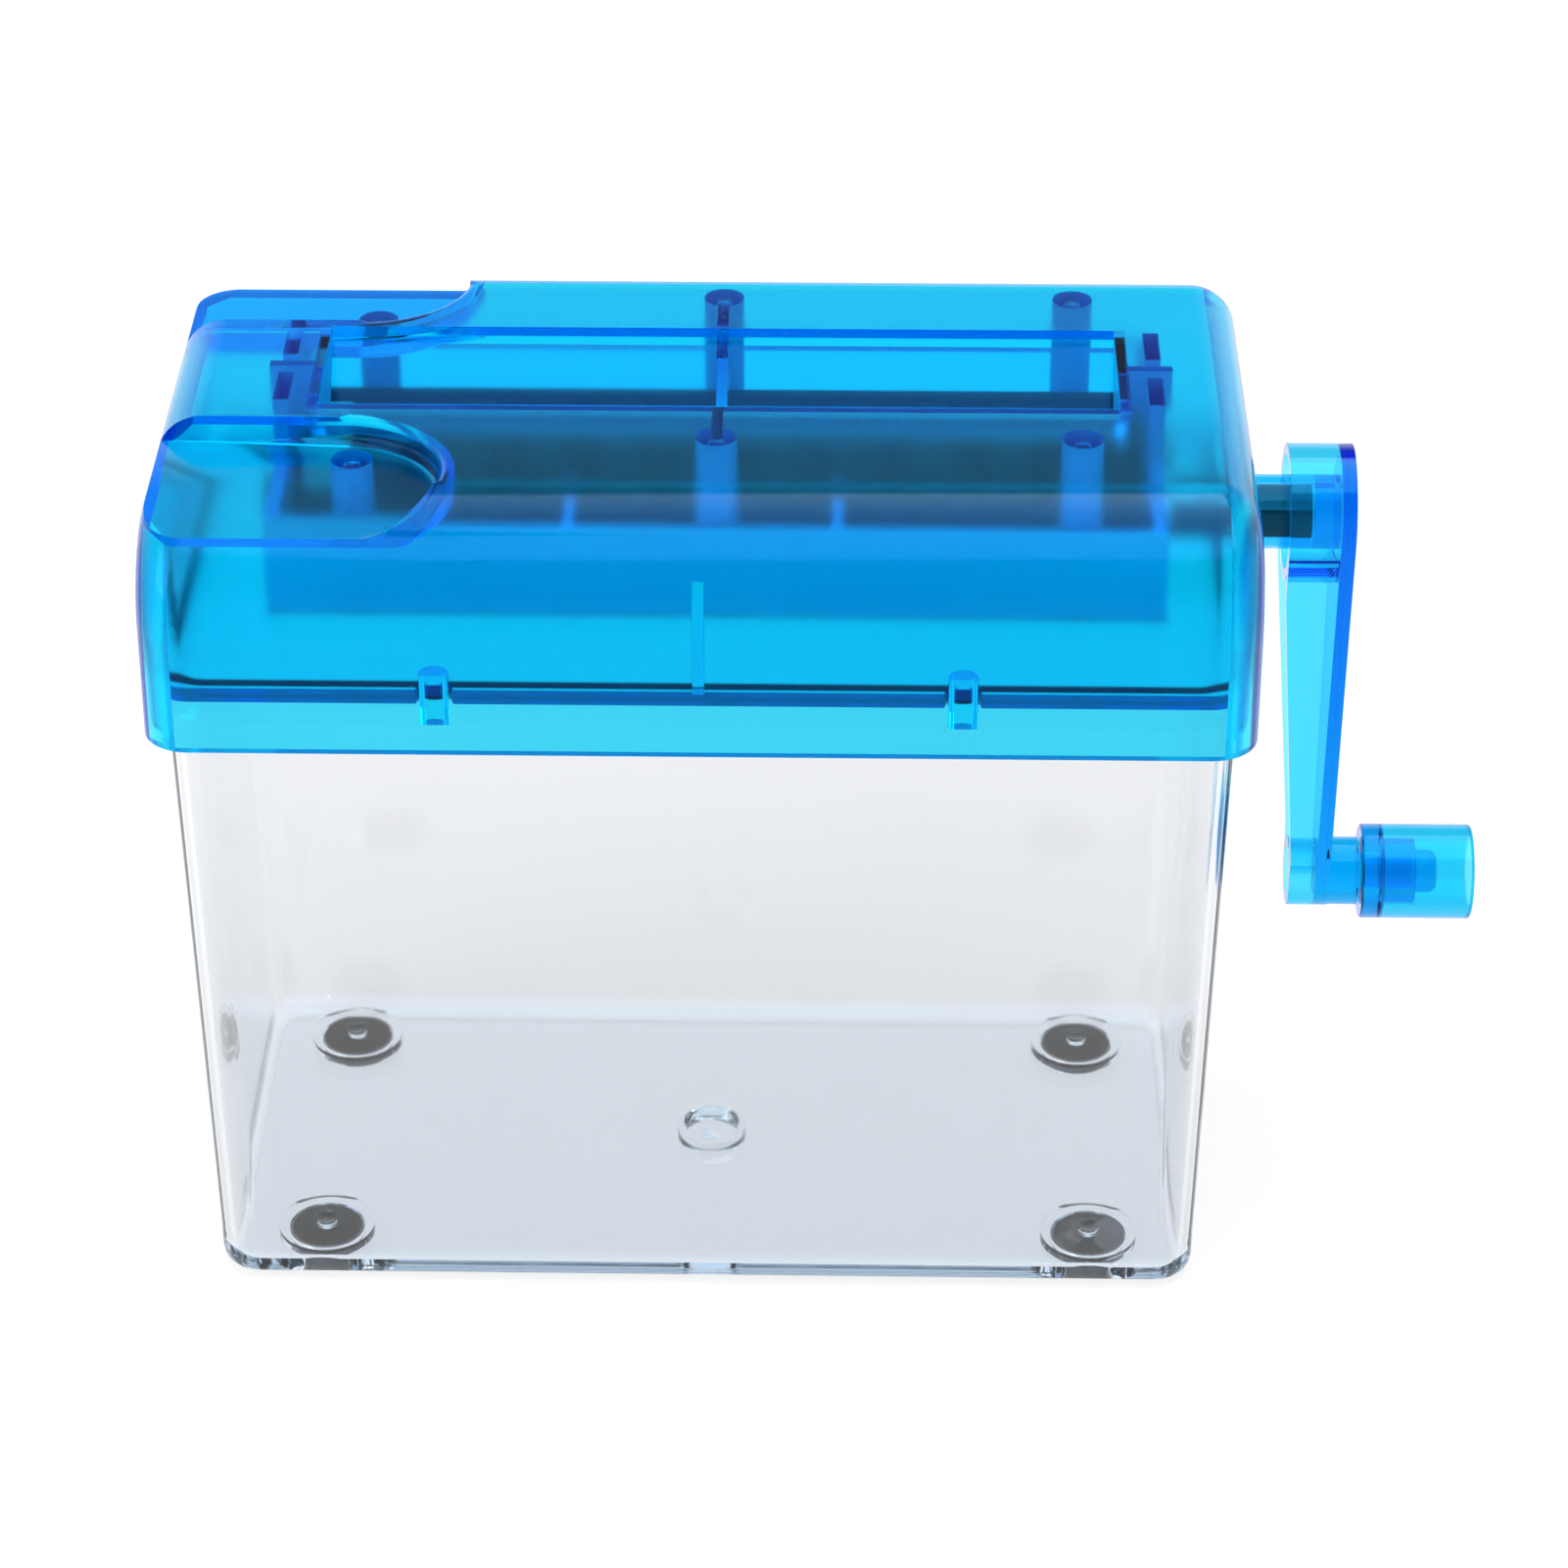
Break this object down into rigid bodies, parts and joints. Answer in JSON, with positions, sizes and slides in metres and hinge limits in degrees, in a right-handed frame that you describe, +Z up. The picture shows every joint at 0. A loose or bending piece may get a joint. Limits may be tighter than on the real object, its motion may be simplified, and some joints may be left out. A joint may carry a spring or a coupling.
{
  "type": "hand-crank paper shredder",
  "caption": "Desk paper shredder worked by a side crank: a frosted blue head with a feed slot and meshing cutter rollers lifts off a clear tapered bin.",
  "frame": {"origin": "centre of the bin's flat underside; the foot pads stand 1 mm below it", "axes": "+X towards the crank, +Y towards the back, +Z up; the feed slot runs along X"},
  "size_m": [0.213, 0.095, 0.145],
  "materials": {
    "clear_plastic": "clear, glossy",
    "pad_rubber": "matt, dark grey",
    "frosted_blue": "translucent, frosted",
    "plate_blue": "translucent blue",
    "comb_plastic": "moulded, black",
    "shaft_steel": "blackened bar",
    "cutter_steel": "dark, ground edges",
    "spacer_plastic": "moulded, black",
    "gear_plastic": "moulded, off-white",
    "bush_plastic": "moulded, black",
    "clip_steel": "spring steel",
    "crank_blue": "clear blue, glossy",
    "knob_blue": "clear blue, glossy"
  },
  "bodies": {
    "bin": {"bin": "clear_plastic", "foot_pads": "pad_rubber"},
    "head": {"top_cover": "frosted_blue", "base_plate": "plate_blue", "front_stripper_comb": "comb_plastic", "rear_stripper_comb": "comb_plastic"},
    "drive": {"drive_shaft": "shaft_steel", "drive_cutters": "cutter_steel", "drive_spacers": "spacer_plastic", "drive_gear": "gear_plastic", "drive_left_bush": "bush_plastic", "drive_right_bush": "bush_plastic", "drive_clips": "clip_steel", "crank_arm": "crank_blue"},
    "knob": {"crank_knob": "knob_blue"},
    "idler": {"idler_shaft": "shaft_steel", "idler_cutters": "cutter_steel", "idler_spacers": "spacer_plastic", "idler_gear": "gear_plastic", "idler_left_bush": "bush_plastic", "idler_right_bush": "bush_plastic", "idler_clips": "clip_steel"}
  },
  "joints": [
    {"name": "head_lift", "type": "slide", "parent": "bin", "child": "head", "axis": [0, 0, 1], "range_m": [0, 0.12]},
    {"name": "crank_turn", "type": "hinge", "parent": "head", "child": "drive", "pos_m": [0, 0.0043, 0.1219], "axis": [1, 0, 0], "continuous": true},
    {"name": "idler_turn", "type": "hinge", "parent": "head", "child": "idler", "pos_m": [0, 0.0203, 0.1219], "axis": [1, 0, 0], "continuous": true},
    {"name": "knob_spin", "type": "hinge", "parent": "drive", "child": "knob", "pos_m": [0.118, 0.0043, 0.054], "axis": [1, 0, 0], "continuous": true}
  ],
  "couplings": [
    {"joint": "idler_turn", "follows": "crank_turn", "ratio": -1}
  ]
}
